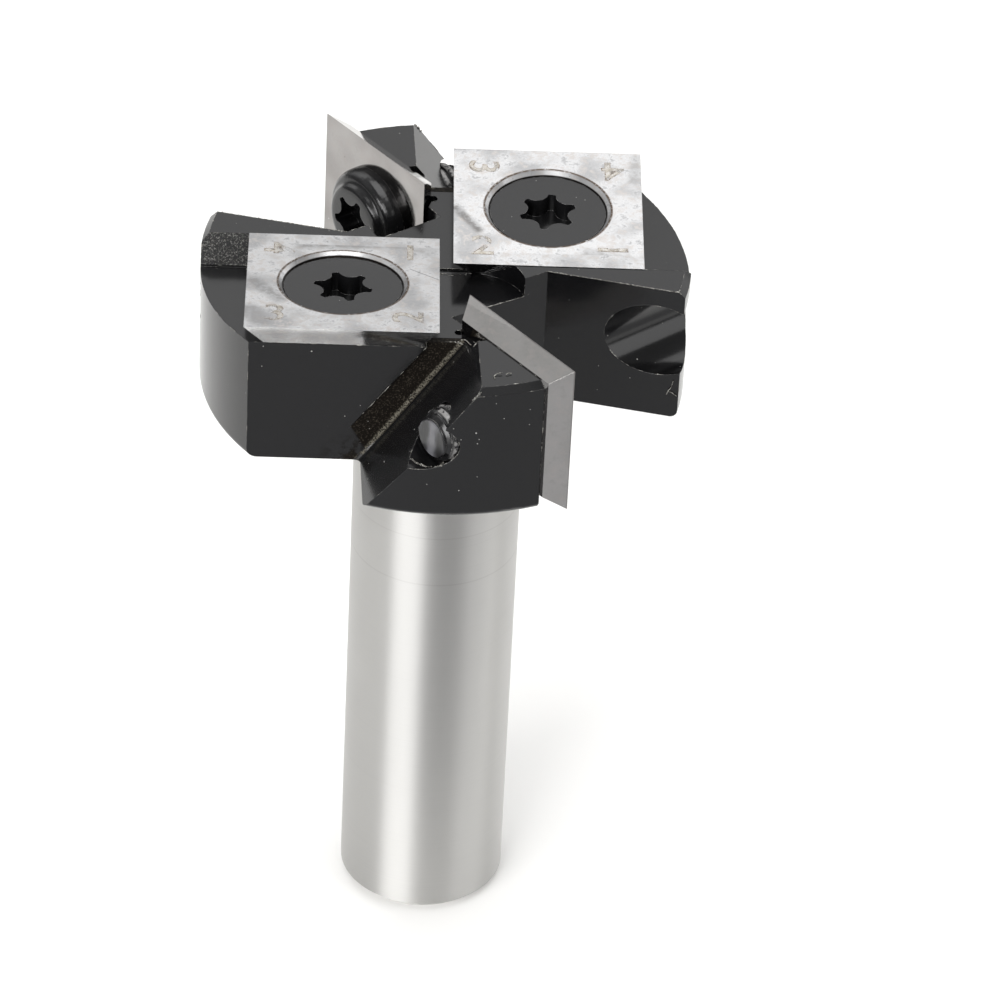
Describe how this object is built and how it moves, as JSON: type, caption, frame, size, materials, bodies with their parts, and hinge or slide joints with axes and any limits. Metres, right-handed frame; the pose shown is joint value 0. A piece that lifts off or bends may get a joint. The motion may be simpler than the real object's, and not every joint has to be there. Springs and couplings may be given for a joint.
{
  "type": "surfacing router bit",
  "caption": "Surfacing router bit with square face inserts screwed into a tilted pocket each, upright side inserts on narrower wings, and a straight cylindrical shank.",
  "frame": {"origin": "centre of the shank's free end", "axes": "+Z along the shank towards the cutting end; +X along the leading edge of the second face insert, away from the axis, so that the face inserts cut towards -Y on the -X side and towards +Y on the +X side"},
  "size_m": [0.036, 0.0368, 0.059],
  "materials": {
    "body": "black oxide on the head, plain ground steel on the shank",
    "insert": "ground cemented carbide",
    "screw": "black oxide"
  },
  "bodies": {
    "root": {"cutter_body": "body", "face_insert_1": "insert", "face_insert_2": "insert", "side_insert_1": "insert", "side_insert_2": "insert", "face_screw_1": "screw", "face_screw_2": "screw", "side_screw_1": "screw", "side_screw_2": "screw"}
  },
  "joints": []
}
